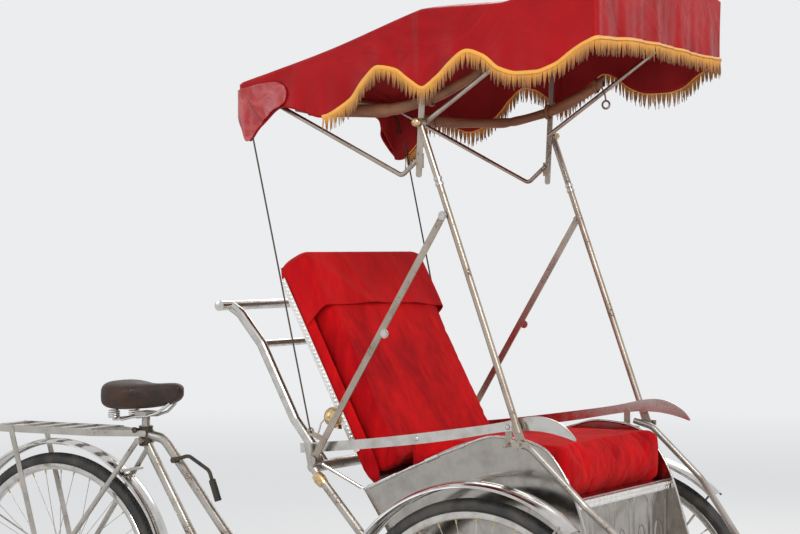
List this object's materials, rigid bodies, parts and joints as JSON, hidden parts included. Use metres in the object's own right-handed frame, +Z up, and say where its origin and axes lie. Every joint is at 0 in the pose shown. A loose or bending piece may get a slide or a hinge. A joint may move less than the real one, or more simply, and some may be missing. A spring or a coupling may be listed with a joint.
{
  "type": "cycle rickshaw",
  "caption": "Pedal rickshaw with a hooded passenger seat between two front wheels, steered by a push bar from a saddle over the rear wheel.",
  "frame": {"origin": "floor level, under the middle of the length and width", "axes": "+X forward, +Y to the left, +Z up"},
  "size_m": [2.421, 0.952, 1.8579],
  "materials": {
    "frame_steel": "plated steel tube, dulled",
    "stainless": "polished stainless sheet",
    "chrome": "bright plate",
    "tyre": "black rubber",
    "spokes": "bright wire and rim",
    "drive_steel": "oiled steel",
    "rubber": "black, matt",
    "saddle_leather": "dark, worn smooth",
    "red_cloth": "bright red woven cloth",
    "red_vinyl": "glossy red coated cloth",
    "board": "painted board",
    "rope": "dark cord",
    "oilcloth": "brown coated cloth"
  },
  "bodies": {
    "rear_frame": {"main_tube": "frame_steel", "lower_tube": "frame_steel", "seat_tube": "frame_steel", "chain_stays": "frame_steel", "seat_stays": "frame_steel", "rear_axle": "drive_steel", "seat_post": "frame_steel", "saddle_springs": "chrome", "saddle": "saddle_leather", "rear_mudguard": "chrome", "rear_guard_stays": "frame_steel", "carrier": "frame_steel", "carrier_stays": "frame_steel", "brake_lever": "drive_steel", "chain": "drive_steel"},
    "rear_wheel": {"rear_tyre": "tyre", "rear_wheel": "spokes", "rear_sprocket": "drive_steel"},
    "crank": {"crankset": "drive_steel", "pedals": "rubber"},
    "cabin": {"front_axle": "drive_steel", "leaf_springs": "drive_steel", "side_rails": "frame_steel", "kingpin_beam": "frame_steel", "cross_tubes": "frame_steel", "foot_hoops": "frame_steel", "foot_rails": "frame_steel", "foot_bar": "frame_steel", "foot_deck": "stainless", "side_panels": "stainless", "seat_pan": "board", "seat_apron": "stainless", "seat_trim": "stainless", "seat_cushion": "red_cloth", "back_cushion": "red_cloth", "back_board": "board", "back_strips": "stainless", "push_bar": "frame_steel", "armrests": "frame_steel", "arm_posts": "frame_steel", "front_mudguards": "chrome", "front_guard_stays": "frame_steel", "hood_pins": "chrome"},
    "front_left_wheel": {"front_left_tyre": "tyre", "front_left_wheel": "spokes"},
    "front_right_wheel": {"front_right_tyre": "tyre", "front_right_wheel": "spokes"},
    "hood": {"hood_struts": "frame_steel", "diagonal_stays": "frame_steel", "main_bow": "frame_steel", "bow_bolts": "chrome", "front_bow": "frame_steel", "rear_bow": "frame_steel", "canopy": "red_vinyl", "rain_curtains": "oilcloth", "guy_ropes": "rope"}
  },
  "joints": [
    {"name": "steering", "type": "hinge", "parent": "rear_frame", "child": "cabin", "pos_m": [0.53047, 0, 0.43], "axis": [0, 0, 1], "range_deg": [-40, 40]},
    {"name": "rear_wheel_spin", "type": "hinge", "parent": "rear_frame", "child": "rear_wheel", "pos_m": [-0.84953, 0, 0.33], "axis": [0, 1, 0], "continuous": true},
    {"name": "crank_spin", "type": "hinge", "parent": "rear_frame", "child": "crank", "pos_m": [-0.31796, 0, 0.3], "axis": [0, 1, 0], "continuous": true},
    {"name": "front_left_spin", "type": "hinge", "parent": "cabin", "child": "front_left_wheel", "pos_m": [0.64047, 0.42, 0.33], "axis": [0, 1, 0], "continuous": true},
    {"name": "front_right_spin", "type": "hinge", "parent": "cabin", "child": "front_right_wheel", "pos_m": [0.64047, -0.42, 0.33], "axis": [0, 1, 0], "continuous": true},
    {"name": "hood_tip", "type": "hinge", "parent": "cabin", "child": "hood", "pos_m": [0.17847, 0, 0.717], "axis": [0, -1, 0], "range_deg": [0, 45]}
  ]
}
